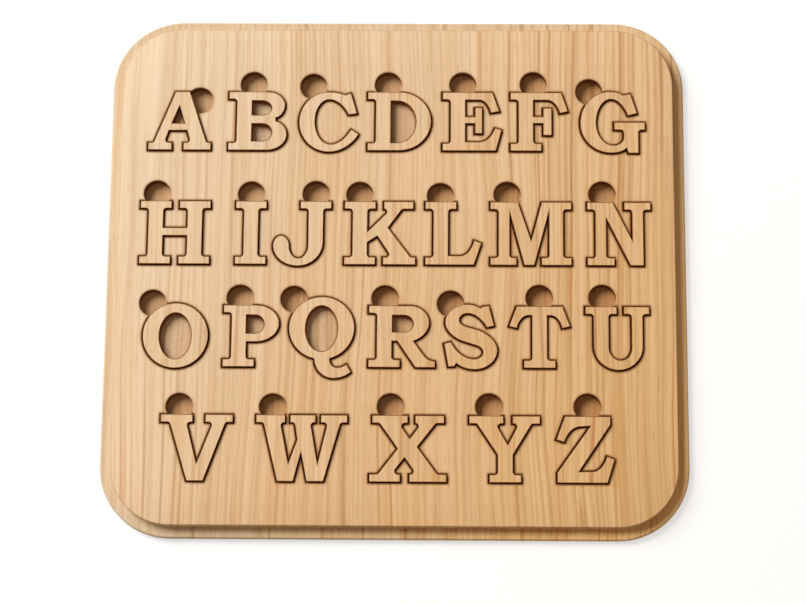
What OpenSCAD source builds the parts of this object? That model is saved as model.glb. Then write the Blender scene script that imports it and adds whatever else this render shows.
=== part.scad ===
// Wooden alphabet puzzle. A face plate with a cut-out for every capital letter is glued on a larger
// backing board, and 26 loose letters stand in the cut-outs, a little proud of the face.
// A round finger hole runs into the edge of each cut-out, so that the letter can be tipped out.
// The puzzle lies on its back: +X runs along the rows, +Y up the alphabet, +Z out of the face.

/* [Boards] */
// Thickness of the backing board
base_t = 4; // [3:0.5:10]
// Thickness of the face plate, which is the depth of the cut-outs
plate_t = 6; // [4:0.5:12]
// Width of the step that the backing board shows all round the face plate
ledge = 6.4; // [2:0.2:15]
// Corner radius of the face plate seen from above
plate_corner_r = 34; // [10:1:60]
// Rounding of the backing board's outer edges
base_edge_r = 1.2; // [0.4:0.1:1.4]
// Rounding of the face plate's outer edge
plate_edge_r = 0.6; // [0.2:0.1:1.4]
// Face left free at each end of the longest row
side_margin = 13; // [9:0.5:40]
// Face left free above the first row
top_margin = 38; // [25:0.5:60]
// Face left free below the last row
bottom_margin = 24.5; // [15:0.5:60]

/* [Rows] */
// Height of the capitals in the first row
cap_1 = 35.5; // [28:0.5:45]
// Height of the capitals in the second row
cap_2 = 37.5; // [30:0.5:45]
// Height of the capitals in the third row
cap_3 = 36; // [28:0.5:45]
// Height of the capitals in the fourth row
cap_4 = 38; // [30:0.5:46]
// Face between the first and second rows
row_gap_1 = 30; // [20:0.5:50]
// Face between the second and third rows
row_gap_2 = 23.5; // [20:0.5:50]
// Face between the third and fourth rows
row_gap_3 = 27; // [22:0.5:50]
// How far the short last row stands off the middle
last_row_shift = -4; // [-10:0.5:10]

/* [Letters] */
// Thickness of the loose letters
letter_t = 7.5; // [5:0.5:16]
// Depth of the counters, which are sunk into the letters' faces
counter_depth = 4.5; // [1:0.5:6.5]
// Width of an upright stem
stem = 9; // [6:0.2:10.8]
// Thickest part of a round stroke
round_t = 9.6; // [6.4:0.2:11.6]
// Thickness of bars and of the thin parts of round strokes
thin = 5; // [3.5:0.1:6]
// Thickness of a slab serif
serif_t = 4.8; // [3.4:0.1:5.8]
// How far a serif reaches past its stem
serif_out = 4.6; // [3:0.1:5.6]
// Least face between the two feet of an H
tongue = 3; // [1.5:0.1:4]
// Rounding between a stem and its serif
bracket_r = 1.5; // [0.8:0.1:1.8]
// How far the round letters run past the line
overshoot = 1; // [0.5:0.1:2.4]
// Width of the saw cut between a letter and the face plate, half of it on each side of the outline
saw_gap = 0.6; // [0.2:0.05:0.8]

/* [Finger holes] */
// Diameter of a finger hole
hole_d = 15.5; // [12:0.5:19]
// Height of a finger hole's centre above the top of its letter
hole_rise = 4.4; // [3:0.1:6]

/* [Hidden] */
// Width of a stem with its serifs
leg_w = stem + 2 * serif_out;
// Letters of each row: name, width, gap before it, then the finger hole's centre, measured from the
// letter's left side and from the usual height above its top
ROWS = [
    [["A", 36.5, 0, 29.5, -9.6], ["B", 34, 9.5, 14.5, 0], ["C", 35, 6.5, 8.5, -1], ["D", 37, 4.5, 12, 0],
     ["E", 34.5, 6, 12, 0], ["F", 33.5, 4.5, 13.5, 0.4], ["G", 37.5, 6.5, 5.5, -3.8]],
    [["H", max(40.5, 2 * leg_w + tongue), 0, 9.5, 0],
     ["I", leg_w - 0.2, 14, leg_w / 2 - 0.1, -0.4], ["J", 33.5, 3.5, 24.5, 0],
     ["K", 41, 7, 9, -0.4], ["L", 32.5, 5, 9, -0.9], ["M", 46.5, 4.5, 10, 0], ["N", 36.5, 8.5, 9, 0.3]],
    [["O", 37.5, 0, 5.5, -3.4], ["P", 32, 8, 9.5, -0.3], ["Q", 37.5, 5, 3, -0.8],
     ["R", 38, 7.5, 9.5, -0.3], ["S", 30.5, 4.5, 4, -3.2], ["T", 35, 6, 17.5, 0.3], ["U", 36.5, 8, 10, 0.6]],
    [["V", 41, 0, 10.5, 0], ["W", 51.5, 12.5, 9.5, 0], ["X", 43.5, 12, 12, 0.4],
     ["Y", 40, 12, 11.5, 0.7], ["Z", 33, 8.5, 18, 0.8]]
];
CAPS = [cap_1, cap_2, cap_3, cap_4];
GAPS_ABOVE = [top_margin, row_gap_1, row_gap_2, row_gap_3];
SHIFTS = [-0.5, -0.75, 0.25, last_row_shift];
LAST_ROW = len(ROWS) - 1;

// Sum of a list, its first values up to place n, the run from the start of row r to its letter i,
// and the whole length of row r
function total(v) = len(v) == 0 ? 0 : v * [for (x = v) 1];
function first(v, n) = [for (k = [0 : n]) v[k]];
function run(r, i) = total([for (k = [0 : 1 : i - 1]) ROWS[r][k][1] + ROWS[r][k + 1][2]]);
function row_w(r) = let(last = len(ROWS[r]) - 1) run(r, last) + ROWS[r][last][1];

// Size of the boards, worked out from the rows that they hold
plate_w = max([for (r = [0 : LAST_ROW]) row_w(r)]) + 2 * side_margin;
plate_d = total(CAPS) + total(GAPS_ABOVE) + bottom_margin;
base_w = plate_w + 2 * ledge;
base_d = plate_d + 2 * ledge;

// How far a cutting shape runs past the faces that it cuts
cut = 1;

// Line that row r stands on
function line_y(r) = plate_d / 2 - total(first(GAPS_ABOVE, r)) - total(first(CAPS, r));

// Every letter in its place: name, width and height, lower left corner, finger hole's centre
NAME = 0;
SIZE = 1;
CORNER = 2;
HOLE = 3;
LETTERS = [for (r = [0 : LAST_ROW]) for (i = [0 : len(ROWS[r]) - 1])
    let(one = ROWS[r][i], corner = [SHIFTS[r] - row_w(r) / 2 + run(r, i), line_y(r)])
    [one[0], [one[1], CAPS[r]], corner, corner + [one[3], CAPS[r] + hole_rise + one[4]]]];

// Outlines. A list of corners goes round counter-clockwise: [x, y] is a sharp corner, [x, y, r] is
// rounded by r, and [x, y, PULL] bends the outline between its two neighbours towards it.
PULL = -1;
curve_step = 9;
fillet_step = 22.5;
function unit(v) = v / norm(v);
function turn(a, b) = acos(max(-1, min(1, unit(a) * unit(b))));

// Conic arc from p to q that bends towards c: a square bend is a quarter of an ellipse
function conic(p, c, q, k, s) =
    let(u = 1 - s, m = 2 * k * s * u) (u * u * p + m * c + s * s * q) / (u * u + m + s * s);
function bend(p, c, q, step) =
    let(t = turn(c - p, q - c), n = max(2, ceil(t / step)))
    [for (i = [0 : n]) conic(p, c, q, cos(t / 2), i / n)];
function inner(v) = [for (i = [1 : 1 : len(v) - 2]) v[i]];

// Points of an outline whose corners are given as shares of a width and a height.
// A rounding takes up at most this share of the shorter side next to it.
longest_run = 0.9;
function outline(corners, size = [1, 1]) =
    let(n = len(corners), at = [for (c = corners) [c.x * size.x, c.y * size.y]])
    [for (i = [0 : n - 1])
        let(p = at[(i + n - 1) % n], c = at[i], q = at[(i + 1) % n],
            kind = is_undef(corners[i][2]) ? 0 : corners[i][2],
            back = min(kind * tan(turn(c - p, q - c) / 2), longest_run * min(norm(c - p), norm(q - c))))
        each kind == PULL ? inner(bend(p, c, q, curve_step))
            : kind > 0 ? bend(c + back * unit(p - c), c, c + back * unit(q - c), fillet_step)
            : [c]];

// The same outline moved outwards by g
function grown(v, g) = [for (i = [0 : len(v) - 1])
    let(n = len(v), a = unit(v[i] - v[(i + n - 1) % n]), b = unit(v[(i + 1) % n] - v[i]),
        out_a = [a.y, -a.x], out_b = [b.y, -b.x])
    v[i] + g * (out_a + out_b) / (1 + out_a * out_b)];

// Parts of the letters, all as shares of a letter's own width and height.
// A stroke whose side is at x has a slab serif out to e, of thickness f, met by a rounded bracket:
// at the stroke's foot, going up its right side or down its left side, and at its head likewise.
BR = bracket_r;
function foot_up(x, e, f) = [[e, 0], [e, f], [x, f, BR]];
function foot_down(x, e, f) = [[x, f, BR], [e, f], [e, 0]];
function head_up(x, e, f) = [[x, 1 - f, BR], [e, 1 - f], [e, 1]];
function head_down(x, e, f) = [[e, 1], [e, 1 - f], [x, 1 - f, BR]];

// Oval between two corners
function oval(x0, y0, x1, y1) =
    let(x = (x0 + x1) / 2, y = (y0 + y1) / 2)
    [[x, y0], [x1, y0, PULL], [x1, y], [x1, y1, PULL], [x, y1], [x0, y1, PULL], [x0, y], [x0, y0, PULL]];

// Space inside a bowl, from a stem at x0, straight as far as x, then round to its end at x1
function bowl(x0, x, x1, y0, y1) =
    [[x0, y0], [x, y0], [x1, y0, PULL], [x1, (y0 + y1) / 2], [x1, y1, PULL], [x, y1], [x0, y1]];

// Outline stretched by the share o at the head and at the foot
function stretched(v, o) =
    [for (p = v) let(y = p.y * (1 + 2 * o) - o) is_undef(p[2]) ? [p.x, y] : [p.x, y, p[2]]];

// The 26 forms: the outer outline, then any counters. In each, a and b are the sides of a stem on the
// left, f is a serif's thickness, t a thin stroke's, k the width of a round stroke, and o the overshoot.
form_A = function (a, b, f, t, k, o) [
    concat([[0, 0]], foot_up(0.27, 0.386, f), [[0.333, 0.33], [0.61, 0.33]], foot_down(0.665, 0.555, f),
        foot_up(0.93, 1, f), [[0.648, 1], [0.415, 1], [0.086, f, BR], [0, f]]),
    [[0.372, 0.452], [0.578, 0.452], [0.487, 0.75]]];
form_B = function (a, b, f, t, k, o) [
    concat([[0.66, 0], [1, 0, PULL], [1, 0.27], [1, 0.46, PULL], [0.81, 0.502], [0.81, 0.548],
        [0.965, 0.59, PULL], [0.965, 0.77], [0.965, 1, PULL], [0.66, 1]],
        head_down(a, 0, f), foot_down(a, 0, f)),
    bowl(b, 0.57, 0.745, t + 0.015, 0.525 - t / 2),
    bowl(b, 0.56, 0.735, 0.525 + t / 2, 0.985 - t)];
form_C = function (a, b, f, t, k, o) [
    [[0.5, -o], [0.82, -o, PULL], [1, 0.28], [0.861, 0.37], [0.72, t - o, PULL], [0.53, t - o],
     [k, t - o, PULL], [k, 0.5], [k, 1 - t, PULL], [0.5, 1 - t], [0.7, 1 - t, PULL], [0.82, 0.6],
     [0.967, 0.625], [0.861, 0.985], [0.76, 0.95], [0.66, 1, PULL], [0.49, 1], [0, 1, PULL], [0, 0.49],
     [0, -o, PULL]]];
form_D = function (a, b, f, t, k, o) [
    concat([[0.5, 0], [1, 0, PULL], [1, 0.5], [1, 1, PULL], [0.5, 1]],
        head_down(a, 0, f), foot_down(a, 0, f)),
    bowl(b, 0.47, 1.02 - k, f, 0.98 - f)];
form_E = function (a, b, f, t, k, o) [
    concat([[0.9, 0], [1, 0.36], [0.875, 0.4], [0.8, t + 0.02, PULL], [0.62, t + 0.02], [b, t + 0.02],
        [b, 0.46], [0.54, 0.46], [0.54, 0.29], [0.675, 0.29], [0.675, 0.74], [0.54, 0.74], [0.54, 0.585],
        [b, 0.585], [b, 1 - t], [0.62, 1 - t], [0.76, 1 - t, PULL], [0.806, 0.64], [0.964, 0.667],
        [0.842, 1]], head_down(a, 0, f), foot_down(a, 0, f))];
form_F = function (a, b, f, t, k, o) [
    concat(foot_up(b, a + b, f), [[b, 0.465], [0.56, 0.465], [0.56, 0.265], [0.72, 0.265], [0.72, 0.735],
        [0.56, 0.735], [0.56, 0.59], [b, 0.59], [b, 1 - t], [0.64, 1 - t], [0.8, 1 - t, PULL],
        [0.847, 0.635], [1, 0.67], [0.885, 1]], head_down(a, 0, f), foot_down(a, 0, f))];
form_G = function (a, b, f, t, k, o) [
    [[0.47, -o], [0.64, -o, PULL], [0.71, 0.05], [0.735, -0.03], [0.9, -0.03], [0.9, 0.36, BR], [1, 0.36],
     [1, 0.36 + t], [0.517, 0.36 + t], [0.517, 0.36], [0.663, 0.36, BR], [0.663, 0.24],
     [0.663, t - o, PULL], [0.51, t - o], [k, t - o, PULL], [k, 0.48], [k, 1.02 - t, PULL],
     [0.48, 1.02 - t], [0.64, 1.02 - t, PULL], [0.734, 0.6], [0.884, 0.64], [0.782, 0.985], [0.663, 0.96],
     [0.6, 1.02, PULL], [0.46, 1.02], [0, 1.02, PULL], [0, 0.48], [0, -o, PULL]]];
form_H = function (a, b, f, t, k, o)
    let(c = 1 - b, d = 1 - a, e = a + b, low = 0.51 - t / 2, high = 0.51 + t / 2) [
    concat(foot_down(a, 0, f), foot_up(b, e, f), [[b, low], [c, low]],
        foot_down(c, 1 - e, f), foot_up(d, 1, f), head_up(d, 1, f), head_down(c, 1 - e, f),
        [[c, high], [b, high]], head_up(b, e, f), head_down(a, 0, f))];
form_I = function (a, b, f, t, k, o) [
    concat(foot_down(a, 0, f), foot_up(1 - a, 1, f), head_up(1 - a, 1, f), head_down(a, 0, f))];
form_J = function (a, b, f, t, k, o) let(c = 1 - b, d = 1 - a, m = (k + c) / 2) [
    concat([[0.43, -o], [d, -o, PULL], [d, 0.35]], head_up(d, 1, f), head_down(c, c - a, f),
        [[c, 0.31], [c, t - o, PULL], [m, t - o], [k, t - o, PULL], [k, 0.3], [k, 0.46, PULL],
         [k / 2, 0.46], [0, 0.46, PULL], [0, 0.3], [0, -o, PULL]])];
form_K = function (a, b, f, t, k, o) [
    concat(foot_down(a, 0, f), foot_up(b, a + b, f), [[b, 0.35], [0.463, 0.445]],
        foot_down(0.655, 0.537, f), foot_up(0.93, 1, f), [[0.618, 0.583]], head_up(0.81, 0.97, f),
        head_down(0.635, 0.547, f), [[b, 0.535]], head_up(b, a + b, f), head_down(a, 0, f))];
form_L = function (a, b, f, t, k, o) [
    concat([[0.865, 0], [1, 0.35], [0.855, 0.4], [0.8, t + 0.02, PULL], [0.62, t + 0.02], [b, t + 0.02]],
        head_up(b, a + b, f), head_down(a, 0, f), foot_down(a, 0, f))];
form_M = function (a, b, f, t, k, o) [
    concat(foot_down(a, 0, f), foot_up(0.246, 0.33, f), [[0.246, 0.79], [0.417, 0], [0.546, 0], [0.717, 0.8]],
        foot_down(0.717, 0.625, f), foot_up(1 - a, 1, f), head_up(1 - a, 1, f),
        [[0.629, 1], [0.503, 0.41], [0.345, 1]], head_down(a, 0, f))];
form_N = function (a, b, f, t, k, o) [
    concat(foot_down(a, 0, f), foot_up(0.309, 0.436, f), [[0.309, 0.72], [0.673, 0], [0.885, 0]],
        head_up(0.885, 1, f), head_down(0.7, 0.576, f), [[0.7, 0.42], [0.409, 1]], head_down(a, 0, f))];
form_O = function (a, b, f, t, k, o) [
    oval(0, -o, 1, 1 + o), oval(k, t + 0.01 - o, 1 - k, 0.99 - t + o / 2)];
form_P = function (a, b, f, t, k, o) [
    concat(foot_down(a, 0, f), foot_up(b, a + b, f), [[b, 0.4], [0.58, 0.4], [1, 0.4, PULL], [1, 0.7],
        [1, 1, PULL], [0.58, 1]], head_down(a, 0, f)),
    bowl(b - 0.015, 0.57, 0.73, 0.4 + t, 0.97 - f)];
form_Q = function (a, b, f, t, k, o) [
    [[0.39, 0.132], [0.4, -0.18, PULL], [0.68, -0.18], [0.84, -0.18, PULL], [0.955, -0.075],
     [0.885, 0.06], [0.8, 0, PULL], [0.73, 0.005], [0.63, 0.01, PULL], [0.635, 0.138],
     [1, 0.245, PULL], [1, 0.636], [1, 1.14, PULL], [0.5, 1.14], [0, 1.14, PULL], [0, 0.636],
     [0, 0.225, PULL]],
    oval(k, 0.112 + t, 1 - k, 1.129 - t)];
form_R = function (a, b, f, t, k, o) [
    concat(foot_down(a, 0, f), foot_up(b, a + b, f), [[b, 0.42], [0.43, 0.42], [0.7, 0], [1, 0], [1, 0.11],
        [0.89, 0.125, PULL], [0.84, 0.19], [0.68, 0.425], [0.911, 0.51, PULL], [0.911, 0.72],
        [0.911, 1, PULL], [0.62, 1]], head_down(a, 0, f)),
    bowl(b, 0.53, 0.67, 0.43 + t, 0.975 - f)];
form_S = function (a, b, f, t, k, o) [stretched(
    [[0.574, 0], [1, 0, PULL], [1, 0.3], [1, 0.49, PULL], [0.66, 0.605], [0.42, 0.66], [0.296, 0.69, PULL],
     [0.296, 0.755], [0.296, 0.85, PULL], [0.444, 0.85], [0.65, 0.85, PULL], [0.796, 0.635], [0.94, 0.665],
     [0.843, 0.98], [0.72, 0.968], [0.676, 0.945], [0.57, 1, PULL], [0.444, 1], [0.02, 1, PULL],
     [0.02, 0.72], [0.02, 0.53, PULL], [0.34, 0.43], [0.58, 0.37], [0.722, 0.34, PULL], [0.722, 0.27],
     [0.722, 0.17, PULL], [0.56, 0.17], [0.29, 0.17, PULL], [0.139, 0.43], [0, 0.4], [0.083, 0.038],
     [0.204, 0.046], [0.24, 0.09], [0.36, 0, PULL]], o)];
form_T = function (a, b, f, t, k, o) let(s = (b - a) / 2, c = 0.5 - s, d = 0.5 + s, u = 0.98 - t) [
    concat(foot_down(c, c - a, f), foot_up(d, d + a, f), [[d, u], [0.68, u], [0.82, u, PULL],
        [0.858, 0.634], [1, 0.667], [0.875, 1], [0.125, 1], [0, 0.667], [0.142, 0.634],
        [0.18, u, PULL], [0.32, u], [c, u]])];
form_U = function (a, b, f, t, k, o) let(m = (b + 0.713) / 2, low = t - o + 0.03) [
    concat([[0.51, -o], [0.896, -o, PULL], [0.896, 0.36]], head_up(0.896, 1, f), head_down(0.713, 0.593, f),
        [[0.713, 0.34], [0.713, low, PULL], [m, low], [b, low, PULL], [b, 0.34]],
        head_up(b, a + b, f), head_down(a, 0, f), [[a, 0.36], [a, -o, PULL]])];
form_V = function (a, b, f, t, k, o) [
    concat([[0.376, 0], [0.607, 0]], head_up(0.9, 1, f), head_down(0.714, 0.611, f), [[0.509, 0.286]],
        head_up(0.367, 0.45, f), head_down(0.126, 0, f))];
form_W = function (a, b, f, t, k, o) [
    concat([[0.239, 0], [0.42, 0], [0.497, 0.41], [0.558, 0], [0.746, 0]], head_up(0.925, 1, f),
        head_down(0.775, 0.703, f), [[0.677, 0.293]], head_up(0.6, 0.655, f), head_down(0.42, 0.37, f),
        [[0.449, 0.625], [0.362, 0.293]], head_up(0.275, 0.325, f), head_down(0.08, 0, f))];
form_X = function (a, b, f, t, k, o) [
    concat([[0, 0]], foot_up(0.3, 0.408, f), [[0.456, 0.357]], foot_down(0.6, 0.512, f),
        foot_up(0.88, 1, f), [[0.624, 0.527]], head_up(0.86, 0.968, f), head_down(0.66, 0.584, f),
        [[0.52, 0.66]], head_up(0.39, 0.5, f), head_down(0.13, 0.032, f),
        [[0.36, 0.5], [0.11, f, BR], [0, f]])];
form_Y = function (a, b, f, t, k, o) let(s = (b - a) / 2, c = 0.51 - s, d = 0.51 + s) [
    concat(foot_down(c, c - a, f), foot_up(d, d + a, f), [[d, 0.416]], head_up(0.885, 1, f),
        head_down(0.69, 0.605, f), [[0.544, 0.575]], head_up(0.385, 0.49, f), head_down(0.11, 0, f),
        [[c, 0.416]])];
form_Z = function (a, b, f, t, k, o) [
    [[0.016, 0], [0.875, 0], [1, 0.36], [0.855, 0.41], [0.78, t + 0.05, PULL], [0.62, t + 0.05],
     [0.4, t + 0.045], [0.93, 0.87], [0.93, 1], [0.148, 1], [0, 0.643], [0.148, 0.6],
     [0.22, 0.95 - t, PULL], [0.4, 0.965 - t], [0.57, 0.975 - t], [0.016, 0.16]]];
FORMS = [form_A, form_B, form_C, form_D, form_E, form_F, form_G, form_H, form_I,
    form_J, form_K, form_L, form_M, form_N, form_O, form_P, form_Q, form_R,
    form_S, form_T, form_U, form_V, form_W, form_X, form_Y, form_Z];

// Outlines of a letter at its real size, the outer one first
function outlines(one) =
    let(w = one[SIZE].x, h = one[SIZE].y, side = serif_out / w, form = FORMS[ord(one[NAME]) - ord("A")])
    [for (c = form(side, side + stem / w, serif_t / h, thin / h, round_t / w, overshoot / h))
        outline(c, one[SIZE])];

// Flat cut-out for a letter, larger than its outline by half the saw cut, joined to its finger hole
module cut_out_face(one) {
    translate(one[CORNER]) polygon(grown(outlines(one)[0], saw_gap / 2));
    translate(one[HOLE]) circle(d = hole_d, $fn = 64);
}

// Board of thickness t with corners of radius r and rounded lower and upper outer edges
module board(w, d, t, r, lower_r, upper_r) {
    rim = outline([[0, 0], [r, 0, lower_r], [r, t, upper_r], [0, t]]);
    long = w - 2 * r;
    deep = d - 2 * r;
    translate([-long / 2, -deep / 2, 0]) cube([long, deep, t]);
    for (side = [0, 180]) rotate(side) {
        translate([long / 2, deep / 2, 0]) rotate([90, 0, 0]) linear_extrude(deep) polygon(rim);
        translate([-long / 2, deep / 2, 0]) rotate([90, 0, 90]) linear_extrude(long) polygon(rim);
        translate([long / 2, deep / 2, 0]) rotate_extrude(angle = 90, $fn = 96) polygon(rim);
        translate([-long / 2, deep / 2, 0]) rotate(90) rotate_extrude(angle = 90, $fn = 96) polygon(rim);
    }
}

// Backing board, which closes the cut-outs from behind
module base_board() color("tan")
    board(base_w, base_d, base_t, plate_corner_r + ledge, base_edge_r, base_edge_r);

// Face plate with a cut-out and a finger hole for every letter
module face_plate() color("burlywood")
    translate([0, 0, base_t]) difference() {
        board(plate_w, plate_d, plate_t, plate_corner_r, 0, plate_edge_r);
        translate([0, 0, -cut]) linear_extrude(plate_t + 2 * cut) for (one = LETTERS) cut_out_face(one);
    }

// Loose letter standing on the backing board in its cut-out, smaller than its outline by half the saw
// cut, with its counters sunk into its face
module letter(one) color("wheat") {
    lines = outlines(one);
    translate([one[CORNER].x, one[CORNER].y, base_t]) difference() {
        linear_extrude(letter_t) polygon(grown(lines[0], -saw_gap / 2));
        for (i = [1 : 1 : len(lines) - 1])
            translate([0, 0, letter_t - counter_depth]) linear_extrude(counter_depth + cut) polygon(lines[i]);
    }
}

base_board();
face_plate();
for (one = LETTERS) letter(one);
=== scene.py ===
"""Looks of the wooden alphabet puzzle: oak boards and loose letters with scorched, sanded cut edges."""
import math

import bmesh
import bpy
from mathutils import Matrix, Vector
from mathutils.bvhtree import BVHTree
from mathutils.geometry import delaunay_2d_cdt
from mathutils.kdtree import KDTree


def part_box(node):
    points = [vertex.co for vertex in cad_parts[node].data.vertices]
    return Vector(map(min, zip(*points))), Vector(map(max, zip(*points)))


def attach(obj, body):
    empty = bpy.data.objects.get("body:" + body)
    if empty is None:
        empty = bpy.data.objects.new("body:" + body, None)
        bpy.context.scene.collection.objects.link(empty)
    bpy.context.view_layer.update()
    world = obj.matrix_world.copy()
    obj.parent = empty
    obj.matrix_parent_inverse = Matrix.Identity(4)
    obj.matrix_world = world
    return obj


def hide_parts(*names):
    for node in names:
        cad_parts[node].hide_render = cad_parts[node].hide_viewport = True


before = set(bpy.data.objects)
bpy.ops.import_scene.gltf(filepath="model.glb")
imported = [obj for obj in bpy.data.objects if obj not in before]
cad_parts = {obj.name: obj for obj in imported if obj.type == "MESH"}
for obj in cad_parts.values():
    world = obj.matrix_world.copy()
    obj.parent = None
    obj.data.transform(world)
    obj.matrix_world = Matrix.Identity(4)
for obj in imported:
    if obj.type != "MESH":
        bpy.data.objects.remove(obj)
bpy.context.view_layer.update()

MM = 0.001
LETTERS = "ABCDEFGHIJKLMNOPQRSTUVWXYZ"
face_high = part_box("face_plate")[1]
# No cut-out comes nearer to the plate's sides, or to its ends, than this
FREE_X = 8 * MM
FREE_Y = 20 * MM


# Camera, at the photograph's viewing angle
def add_camera(target, azimuth, elevation, roll, distance, lens):
    a, e, r = (math.radians(v) for v in (azimuth, elevation, roll))
    back = Vector((math.cos(e) * math.sin(a), -math.cos(e) * math.cos(a), math.sin(e)))
    level = Vector((math.cos(a), math.sin(a), 0))
    rise = back.cross(level)
    right = level * math.cos(r) + rise * math.sin(r)
    up = rise * math.cos(r) - level * math.sin(r)
    eye = Vector(target) + back * distance
    data = bpy.data.cameras.new("camera")
    data.sensor_fit = "HORIZONTAL"
    data.sensor_width = 36
    data.lens = lens
    data.clip_start = 0.05
    data.clip_end = 50
    camera = bpy.data.objects.new("camera", data)
    camera.matrix_world = Matrix.Translation(eye) @ Matrix((right, up, back)).transposed().to_4x4()
    bpy.context.scene.collection.objects.link(camera)
    bpy.context.scene.camera = camera


add_camera((4.1 * MM, -14.9 * MM, 0), azimuth=4.59, elevation=76.41, roll=-4.2, distance=1.4227, lens=111.64)


# Materials. A Field is a value in a material, so that a pattern is written as a sum
class Field:
    def __init__(self, finish, socket):
        self.finish = finish
        self.socket = socket

    def worked(self, operation, a, b):
        return self.finish.node("Math", {"operation": operation}, {0: a, 1: b})

    def __add__(self, other):
        return self.worked("ADD", self, other)

    __radd__ = __add__

    def __sub__(self, other):
        return self.worked("SUBTRACT", self, other)

    def __rsub__(self, other):
        return self.worked("SUBTRACT", other, self)

    def __mul__(self, other):
        return self.worked("MULTIPLY", self, other)

    __rmul__ = __mul__


class Finish:
    """The nodes of a material or of the world."""

    def __init__(self, owner):
        owner.use_nodes = True
        self.owner = owner
        self.tree = owner.node_tree
        self.tree.nodes.clear()

    def node(self, kind, settings=None, sockets=None, out=0):
        made = self.tree.nodes.new("ShaderNode" + kind)
        for key, value in (settings or {}).items():
            setattr(made, key, value)
        for key, value in (sockets or {}).items():
            if isinstance(value, Field):
                self.tree.links.new(value.socket, made.inputs[key])
            else:
                made.inputs[key].default_value = value
        if isinstance(out, tuple):
            return [Field(self, made.outputs[key]) for key in out]
        return Field(self, made.outputs[out]) if made.outputs else None

    def noise(self, x, y, z, detail=1.0, roughness=0.5):
        place = self.node("CombineXYZ", {}, {0: x, 1: y, 2: z})
        sockets = {"Vector": place, "Scale": 1.0, "Detail": detail, "Roughness": roughness}
        return self.node("TexNoise", {}, sockets)

    def step(self, value, low, high):
        return self.node("MapRange", {"interpolation_type": "SMOOTHSTEP"},
                         {"Value": value, "From Min": low, "From Max": high})

    def mix(self, a, b, share, way="MIX"):
        return self.node("Mix", {"data_type": "RGBA", "blend_type": way}, {0: share, 6: a, 7: b}, out=2)

    def tinted(self, colour, tint, share):
        return self.mix(colour, (*tint, 1), share, "MULTIPLY")

    def surface(self, shader, output="OutputMaterial"):
        self.node(output, {}, {"Surface": shader})
        return self.owner


# Colours of the wood, from the upper left to the lower right: part wood tone, part painted light
PALE_OAK = (0.835, 0.65, 0.46, 1)
HONEY_OAK = (0.785, 0.505, 0.25, 1)
PALE_LEDGE = (0.715, 0.56, 0.385, 1)
# The lower right of the ledge is lighter and warmer: painted warm light in the plate's shadow there
PAINTED_WARM_LEDGE = (0.93, 0.59, 0.265, 1)
# Darker, warmer floors under the face plate: painted shade of the wells
PALE_WELL_SHADE = (0.66, 0.43, 0.23, 1)
HONEY_WELL_SHADE = (0.585, 0.305, 0.12, 1)
# Colours of the cuts
SCORCH = (0.21, 0.065, 0.014, 1)
TOAST = (0.27, 0.105, 0.022, 1)
# Tints of the grain
WARM = (0.96, 0.87, 0.74)
PALE = (1.04, 1.06, 1.10)
STREAK = (0.89, 0.79, 0.65)
RING = (0.82, 0.71, 0.56)
DARK_LINE = (0.70, 0.52, 0.36)
FINE_LINE = (0.89, 0.85, 0.79)
PORE = (0.80, 0.70, 0.60)


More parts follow.
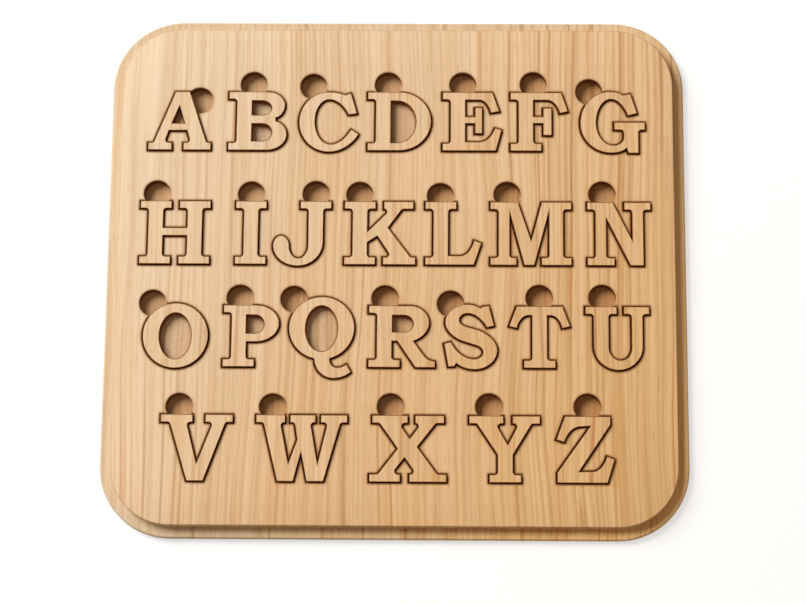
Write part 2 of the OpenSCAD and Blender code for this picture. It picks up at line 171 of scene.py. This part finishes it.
def oak(name, shift, ring_strength, upper_left=PALE_OAK, lower_right=HONEY_OAK, well_shade=None):
    """Oak with its grain along Y, paler at the upper left from wood tone and painted light, and scorched
    where the piece was cut.
    """
    finish = Finish(bpy.data.materials.new(name))
    place = finish.node("TexCoord", out="Object")
    x, y, z = finish.node("SeparateXYZ", {}, {0: place}, out=("X", "Y", "Z"))
    sway = (finish.noise(x * 6 + shift, y * 4, z * 6) - 0.5) * 0.022
    waver = (finish.noise(x * 20 + shift, y * 9, z * 20) - 0.5) * 0.004
    across = x + sway + waver

    def grain(wide, long, offset, detail=1.0):
        return finish.noise(across * wide + (shift + offset), y * long, z * wide, detail)

    # Broad warm and pale zones, streaks along the grain, growth rings, fine lines and pores
    # The broad step from the upper left to the lower right is part wood tone, part painted light from the
    # key lamp's side
    slope = x * 1.9 - y * 1.25
    tone_and_painted_light = finish.step(slope, -0.5, 0.42)
    warm = finish.step(grain(30, 1.0, 0.0), 0.42, 0.68)
    pale = finish.step(grain(75, 1.6, 5.0, 2), 0.52, 0.72)
    streak = finish.step(grain(90, 1.6, 11.0, 2), 0.5, 0.74)
    dark_line = finish.step(grain(310, 1.8, 23.0), 0.59, 0.70) * (0.36 + 0.36 * tone_and_painted_light)
    phase = across * 190 + grain(58, 1.1, 31.0, 2) * 10
    turn = finish.node("Math", {"operation": "FRACT"}, {0: phase})
    ring = finish.step(turn, 0.35, 0.9) * (1 - finish.step(turn, 0.9, 1.0))
    ring = ring * (0.2 + 0.8 * finish.step(grain(14, 1.2, 43.0), 0.36, 0.6)) * (0.42 + 0.85 * tone_and_painted_light)
    fine = grain(520, 6, 3.0)
    pore = finish.step(grain(1500, 70, 7.0, 0), 0.64, 0.78)
    if well_shade:
        # Ledge: paler at the upper left, lighter and warmer at the lower right as painted light in the
        # plate's shadow
        ledge = finish.mix(upper_left, lower_right, finish.step(slope, -0.15, 0.5))
        # Floors under the face plate: darker and warmer, painted shade of the wells
        colour = finish.mix(ledge, finish.mix(*well_shade, tone_and_painted_light), well_shade_mask(finish, x, y))
    else:
        colour = finish.mix(upper_left, lower_right, tone_and_painted_light)
    colour = finish.tinted(colour, WARM, warm * (0.25 + 0.3 * tone_and_painted_light))
    colour = finish.tinted(colour, PALE, pale * 0.7)
    colour = finish.tinted(colour, STREAK, streak * (0.34 + 0.36 * tone_and_painted_light))
    colour = finish.tinted(colour, RING, ring * ring_strength)
    colour = finish.tinted(colour, DARK_LINE, dark_line)
    colour = finish.tinted(colour, FINE_LINE, finish.step(fine, 0.35, 0.7))
    colour = finish.tinted(colour, PORE, pore * 0.4)
    # A toasted halo along the plate's cuts, and painted shade round the floors of the letters' counters
    toast_and_shade_halo = finish.node("Attribute", {"attribute_name": "toast_and_shade_halo"}, out="Fac")
    scorch_and_shade = finish.node("Attribute", {"attribute_name": "scorch_and_shade"}, out="Fac")
    smoke = finish.noise(x * 700, y * 700, z * 60, detail=2)
    colour = finish.mix(colour, TOAST, toast_and_shade_halo * (0.8 + 0.4 * smoke))
    # Then the scorched walls; the same mark paints shade on the counters' floors and the plate's outer
    # roundings
    burnt = finish.mix(TOAST, SCORCH, finish.step(scorch_and_shade + (smoke - 0.5) * 0.4, 0.5, 1.0))
    colour = finish.mix(colour, burnt, finish.step(scorch_and_shade + (smoke - 0.5) * 0.2, 0.05, 0.75))
    height = fine * 0.4 + streak * 0.2 - ring * 0.2 - pore * 0.5 + smoke * scorch_and_shade
    bump = finish.node("Bump", {}, {"Strength": 0.25, "Distance": 0.0002, "Height": height})
    rough = 0.52 + 0.08 * streak + 0.06 * fine + 0.2 * scorch_and_shade
    look = {"Base Color": colour, "Roughness": rough, "Normal": bump, "Specular IOR Level": 0.15}
    return finish.surface(finish.node("BsdfPrincipled", {}, look))


def well_shade_mask(finish, x, y):
    """One where the face plate lies over the backing, nought on the ledge round it; it places the wells'
    painted shade.
    """
    across = finish.node("Math", {"operation": "ABSOLUTE"}, {0: x})
    along = finish.node("Math", {"operation": "ABSOLUTE"}, {0: y})
    inside = 1 - finish.step(across, face_high.x - FREE_X, face_high.x - FREE_X / 2)
    return inside * (1 - finish.step(along, face_high.y - FREE_Y, face_high.y - FREE_Y / 2))


face_oak = oak("face_oak", shift=3.0, ring_strength=0.75)
letter_oak = oak("letter_oak", shift=17.0, ring_strength=0.55)
backing_oak = oak("backing_oak", shift=41.0, ring_strength=0.35,
                  upper_left=PALE_LEDGE, lower_right=PAINTED_WARM_LEDGE, well_shade=(PALE_WELL_SHADE, HONEY_WELL_SHADE))


# Pieces. A copy of a CAD piece gets its cut rims sanded off, its cut walls marked as scorched, a toasted
# halo along the cuts of the plate, and painted shade on the floors of the letters' counters and on the
# plate's roundings
RIM = 0.3 * MM
RIM_DROP = 0.25 * MM
WELD = 0.002 * MM
TOUCH = 0.01 * MM
# A wall's normal rises less than the first, a level face's more than the second
UPRIGHT = 0.05
LEVEL = 0.99
# Faces that turn less than the first are joined, and less than the second are shaded as one
FLAT_TURN = math.radians(0.3)
SMOOTH_TURN = math.radians(25)
# How strongly the surfaces are scorched, and how much shade is painted on the roundings and the counters'
# floors
CUT_SCORCH = 1.0
HOLE_SCORCH = 0.9
RIM_SCORCH = 0.5
EDGE_SCORCH = 0.15
# The plate's outer roundings: painted shade that tones down their highlight
ROUNDING_SHADE = 0.3
COUNTER_FLOOR_SHADE = 0.28
# Halo of the plate: distances from a cut in mm with its strength there, and its share at the finger holes
HALO_AT = [(0.0, 1.0), (0.3, 0.95), (0.65, 0.66), (1.0, 0.24), (1.4, 0.06), (2.0, 0.0)]
HOLE_HALO = 0.4
# Painted shade on the counters' floors: its strength at their walls, and its width
COUNTER_WALL_SHADE = 0.95
COUNTER_SHADE_BAND = 1.3 * MM
# Spacing in mm of the points of the cut line and of the rows beside it, and the net's smallest cell
LINE_STEP = 0.1
ROW_STEP = 0.9
NET_CELL = 0.3 * MM


def halo_share(gap):
    for (near, more), (far, less) in zip(HALO_AT, HALO_AT[1:]):
        if gap < far * MM:
            return more + (less - more) * (gap / MM - near) / (far - near)
    return 0.0


def cut_line(rims, tops, mark):
    """Points with their scorch along the cut-outs, and starts of rows with their ways into the plate."""
    line, starts, turns = [], [], {}
    for e in rims:
        wall = next(f for f in e.link_faces if f not in tops)
        if wall[mark] <= EDGE_SCORCH:
            continue
        a, b = (v.co.copy() for v in e.verts)
        fine, coarse = (max(1, round((b - a).length / (gap * MM))) for gap in (LINE_STEP, ROW_STEP))
        line += [(a.lerp(b, k / fine), wall[mark]) for k in range(fine + 1)]
        starts += [(a.lerp(b, (k + 0.5) / coarse), -wall.normal) for k in range(coarse)]
        for v in e.verts:
            turns[v] = turns.get(v, Vector()) - wall.normal
    return line, starts + [(v.co.copy(), way.normalized()) for v, way in turns.items()]


def net_spots(starts, near, surface):
    """Rows of points beside the cut line, none of them nearer to another part of it."""
    spots, taken = [], set()
    for start, way in starts:
        for gap, _ in HALO_AT[1:]:
            spot = start + way * gap * MM
            cell = (gap, round(spot.x / NET_CELL), round(spot.y / NET_CELL))
            clear = near.find(spot)[2] > 0.92 * gap * MM
            if clear and cell not in taken and surface.find_nearest(spot, TOUCH)[0]:
                taken.add(cell)
                spots.append(spot)
    return spots


def scored(form, tops, mark, toast_and_shade_halo):
    """Cuts the top into a fine net along the cut-outs, whose points hold the halo."""
    height = tops[0].verts[0].co.z
    rims = [e for e in form.edges if sum(f in tops for f in e.link_faces) == 1]
    line, starts = cut_line(rims, tops, mark)
    near = KDTree(len(line))
    for i, (point, _) in enumerate(line):
        near.insert(point, i)
    near.balance()
    surface = BVHTree.FromBMesh(form)
    spots = net_spots(starts, near, surface)
    corners = list(dict.fromkeys(v for e in rims for v in e.verts))
    place = {v: i for i, v in enumerate(corners)}
    points = [v.co.xy / MM for v in corners] + [s.xy / MM for s in spots]
    lines = [(place[e.verts[0]], place[e.verts[1]]) for e in rims]
    flat, _, faces, origin, _, _ = delaunay_2d_cdt(points, lines, [], 0, 0.00001)
    bmesh.ops.delete(form, geom=tops, context="FACES")
    made = []
    for spot, first in zip(flat, origin):
        old = first and first[0] < len(corners)
        made.append(corners[first[0]] if old else form.verts.new((spot.x * MM, spot.y * MM, height)))
    for v in made:
        _, i, gap = near.find(v.co)
        v[toast_and_shade_halo] = halo_share(gap) * (1.0 if line[i][1] == CUT_SCORCH else HOLE_HALO)
    for face in faces:
        sides = [made[i].co for i in face]
        middle = sum(sides, Vector()) / 3
        tries = [middle] + [middle.lerp(side, 0.3) for side in sides]
        if any(surface.find_nearest(spot, TOUCH)[0] for spot in tries):
            form.faces.new([made[i] for i in face])


def sand_plate(form, tops, mark, toast_and_shade_halo):
    """Gives the plate its halo along the cuts, and its outer roundings a little painted shade against their
    highlight.
    """
    roundings = [f for f in form.faces if UPRIGHT <= abs(f.normal.z) < LEVEL]
    scored(form, tops, mark, toast_and_shade_halo)
    for f in roundings:
        f[mark] = ROUNDING_SHADE


def sand_letter(form, tops, walls, mark, toast_and_shade_halo):
    """Paints shade on the floors of a letter's counters and gives its rims a face of their own."""
    low = min(v.co.z for v in form.verts) + MM
    high = tops[0].verts[0].co.z - MM
    sunk = {f for f in walls if min(v.co.z for v in f.verts) > low}
    # Floors of the counters, with a painted shade that darkens towards their walls
    floors = [f for f in form.faces if f.normal.z > LEVEL and low < f.verts[0].co.z < high]
    for v in {v for f in floors for v in f.verts}:
        v[toast_and_shade_halo] = COUNTER_WALL_SHADE
    band = bmesh.ops.inset_region(form, faces=floors, thickness=COUNTER_SHADE_BAND, use_even_offset=True)
    for f in floors + band["faces"]:
        f[mark] = COUNTER_FLOOR_SHADE
    for v in {v for f in floors for v in f.verts}:
        v[toast_and_shade_halo] = 0
    # Rims of the outline and of the counters
    rim = bmesh.ops.inset_region(form, faces=tops, thickness=RIM, use_even_offset=True)
    for f in rim["faces"]:
        in_counter = any(other in sunk for e in f.edges for other in e.link_faces)
        f[mark] = CUT_SCORCH if in_counter else RIM_SCORCH


def sanded(node, name, scorch_and_shade, is_plate=False):
    """A sanded copy of a CAD piece, with its scorch and painted shade on the faces and its halo and painted
    shade on the points.
    """
    form = bmesh.new()
    form.from_mesh(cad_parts[node].data)
    bmesh.ops.remove_doubles(form, verts=form.verts, dist=WELD)
    mark = form.faces.layers.float.new("scorch_and_shade")
    toast_and_shade_halo = form.verts.layers.float.new("toast_and_shade_halo")
    if not is_plate:
        bmesh.ops.dissolve_limit(form, angle_limit=FLAT_TURN, verts=form.verts, edges=form.edges)
    top = max(v.co.z for v in form.verts) - TOUCH
    walls = [f for f in form.faces if abs(f.normal.z) < UPRIGHT]
    for f in walls:
        f[mark] = scorch_and_shade(f.calc_center_median())
    tops = [f for f in form.faces if f.normal.z > LEVEL and f.verts[0].co.z > top]
    cut_verts = {v for f in walls if f[mark] > EDGE_SCORCH for v in f.verts if v.co.z > top}
    if is_plate:
        sand_plate(form, tops, mark, toast_and_shade_halo)
    else:
        sand_letter(form, tops, walls, mark, toast_and_shade_halo)
    for v in cut_verts:
        v.co.z -= RIM_DROP
    form.normal_update()
    for e in form.edges:
        e.smooth = e.calc_face_angle(0) < SMOOTH_TURN
    for f in form.faces:
        f.smooth = True
    mesh = bpy.data.meshes.new(name)
    form.to_mesh(mesh)
    form.free()
    piece = bpy.data.objects.new(name, mesh)
    bpy.context.scene.collection.objects.link(piece)
    return piece


def letters_tree():
    points, faces = [], []
    for letter in LETTERS:
        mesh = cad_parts["letter_" + letter].data
        first = len(points)
        points += [v.co.copy() for v in mesh.vertices]
        faces += [[first + i for i in f.vertices] for f in mesh.polygons]
    return BVHTree.FromPolygons(points, faces)


letters = letters_tree()


def plate_scorch(point):
    """Scorch of the plate's wall at a point: its outer edge, a letter's cut-out or a finger hole."""
    if abs(point.x) > face_high.x - FREE_X or abs(point.y) > face_high.y - FREE_Y:
        return EDGE_SCORCH
    return CUT_SCORCH if letters.find_nearest(point, 1.0 * MM)[0] else HOLE_SCORCH


plate = sanded("face_plate", "sanded_face_plate", plate_scorch, is_plate=True)
plate.data.materials.append(face_oak)
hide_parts("face_plate")
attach(plate, "board")

for letter in LETTERS:
    node = "letter_" + letter
    piece = sanded(node, "sanded_" + node, lambda point: CUT_SCORCH)
    piece.data.materials.append(letter_oak)
    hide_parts(node)
    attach(piece, node)

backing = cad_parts["base_board"]
backing.data.materials.clear()
backing.data.materials.append(backing_oak)


# Studio: a white floor that keeps a faint shadow, a large soft key light and an even fill
def looked_at(finish):
    rays = finish.node("LightPath", out=("Is Camera Ray", "Is Glossy Ray", "Is Transmission Ray"))
    return rays[0] + rays[1] + rays[2]


def add_floor(paper_white, glow):
    finish = Finish(bpy.data.materials.new("white_floor"))
    paper = finish.node("BsdfDiffuse", {}, {"Color": (paper_white, paper_white, paper_white, 1)})
    shine = finish.node("Emission", {}, {"Color": (1, 1, 1, 1), "Strength": looked_at(finish) * glow})
    mesh = bpy.data.meshes.new("floor")
    far, low = 12, -0.2 * MM
    corners = [(-far, -far, low), (far, -far, low), (far, far, low), (-far, far, low)]
    mesh.from_pydata(corners, [], [(0, 1, 2, 3)])
    mesh.materials.append(finish.surface(finish.node("AddShader", {}, {0: paper, 1: shine})))
    floor = bpy.data.objects.new("floor", mesh)
    bpy.context.scene.collection.objects.link(floor)


def add_lamp(name, place, power, size):
    data = bpy.data.lights.new(name, "AREA")
    data.shape = "DISK"
    data.size = size
    data.energy = power
    lamp = bpy.data.objects.new(name, data)
    lamp.location = place
    lamp.rotation_euler = (-Vector(place)).to_track_quat("-Z", "Y").to_euler()
    bpy.context.scene.collection.objects.link(lamp)


def add_fill(strength, colour):
    finish = Finish(bpy.data.worlds.new("fill"))
    soft = finish.node("Background", {}, {"Color": colour, "Strength": strength})
    white = finish.node("Background", {}, {"Color": (1, 1, 1, 1)})
    seen = finish.node("MixShader", {}, {0: looked_at(finish), 1: soft, 2: white})
    bpy.context.scene.world = finish.surface(seen, "OutputWorld")


add_floor(paper_white=0.42, glow=0.62)
add_lamp("key", (-3.27, 2.18, 3.38), power=330, size=3.15)
add_fill(0.265, (1, 0.82, 0.62, 1))
bpy.context.scene.view_settings.view_transform = "Standard"
